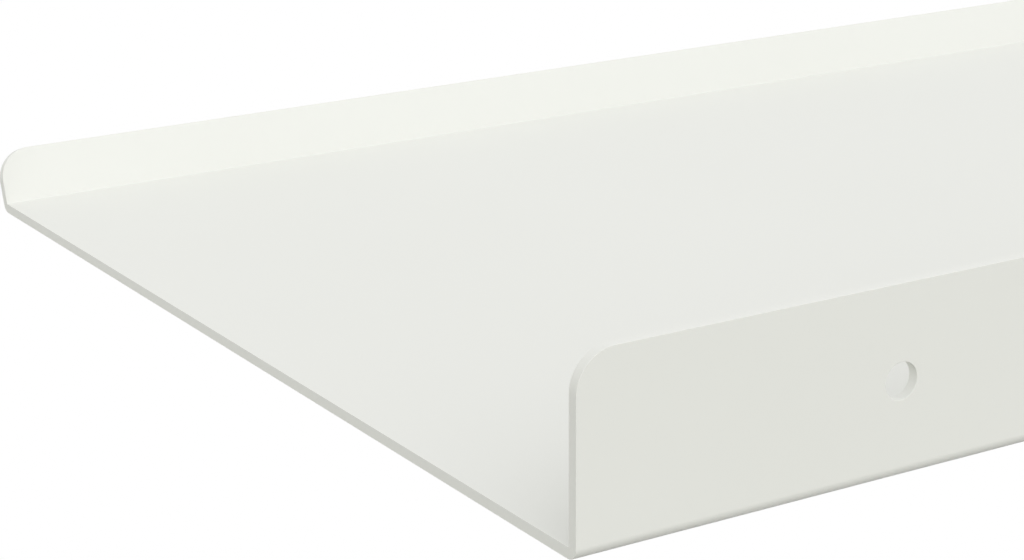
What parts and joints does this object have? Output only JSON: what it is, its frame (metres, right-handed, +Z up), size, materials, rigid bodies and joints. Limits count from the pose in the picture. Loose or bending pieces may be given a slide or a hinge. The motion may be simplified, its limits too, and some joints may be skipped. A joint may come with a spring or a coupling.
{
  "type": "floating wall shelf",
  "caption": "Floating wall shelf folded from sheet steel, with an upright wall flange, a low leaning front lip, and wall screws, washers and plugs in its inner holes.",
  "frame": {"origin": "centre of the pair of open wall holes, on the wall's face behind the wall flange", "axes": "+X along the wall, +Y into the wall, +Z up"},
  "size_m": [0.8, 0.2804, 0.0336],
  "materials": {
    "powder_coat": "satin off-white powder coat",
    "zinc_steel": "bright zinc plating",
    "nylon": "moulded grey nylon"
  },
  "bodies": {
    "root": {"shelf_tray": "powder_coat", "wall_screws": "zinc_steel", "washers": "zinc_steel", "wall_plugs": "nylon"}
  },
  "joints": []
}
